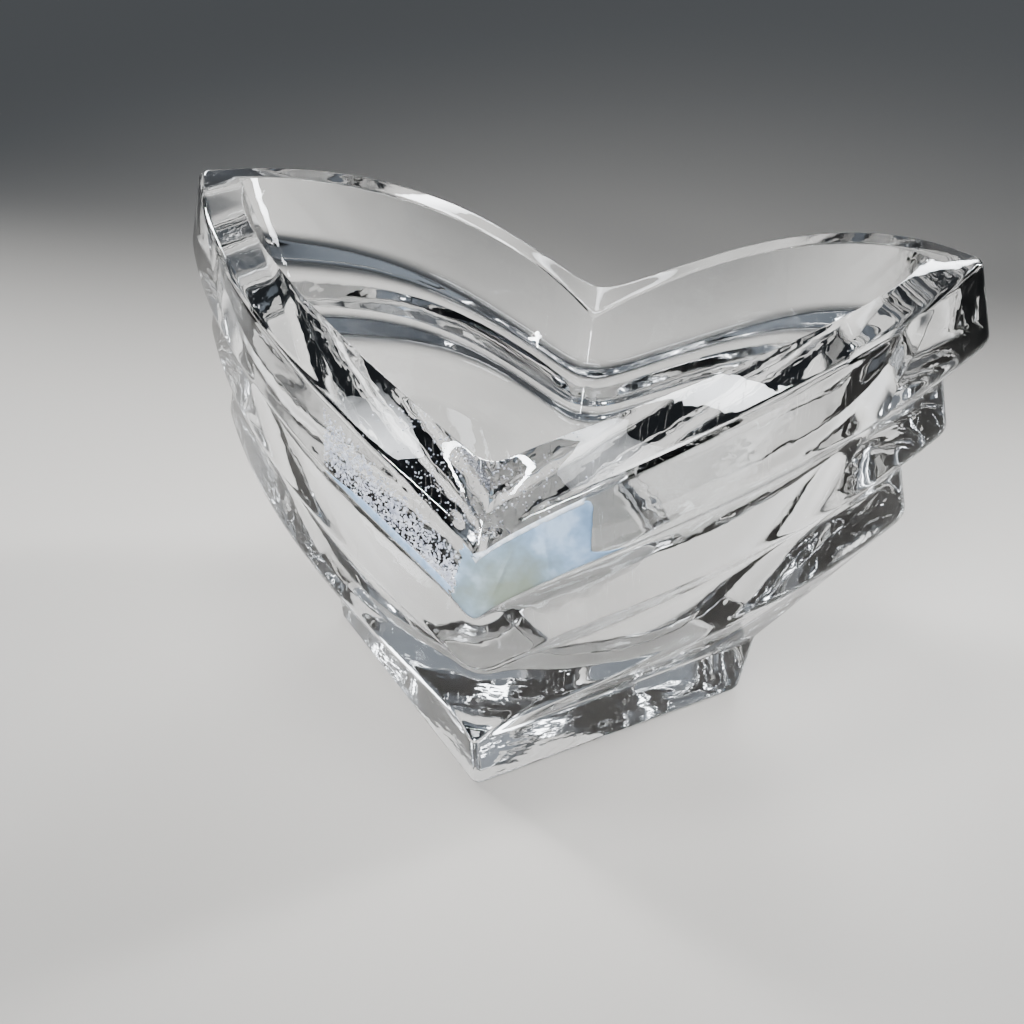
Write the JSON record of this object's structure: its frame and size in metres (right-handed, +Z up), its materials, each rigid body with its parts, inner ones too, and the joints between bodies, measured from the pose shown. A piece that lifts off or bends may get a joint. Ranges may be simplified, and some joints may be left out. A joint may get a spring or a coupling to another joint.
{
  "type": "heart-shaped trinket bowl",
  "caption": "Thick clear crystal heart-shaped open bowl with stepped tiers on a square-cornered base, for trinkets, with the remains of a paper label on its tip.",
  "frame": {"origin": "centre of the bounding box at the base plane", "axes": "+Z up; -Y towards the heart's tip, +Y towards its notch; +X to the right seen from the tip"},
  "size_m": [0.159, 0.1036, 0.0925],
  "materials": {
    "crystal": "polished",
    "label_paper": "satin paper",
    "adhesive": "dried adhesive"
  },
  "bodies": {
    "root": {"glass_bowl": "crystal", "label_paper": "label_paper", "label_adhesive": "adhesive"}
  },
  "joints": []
}
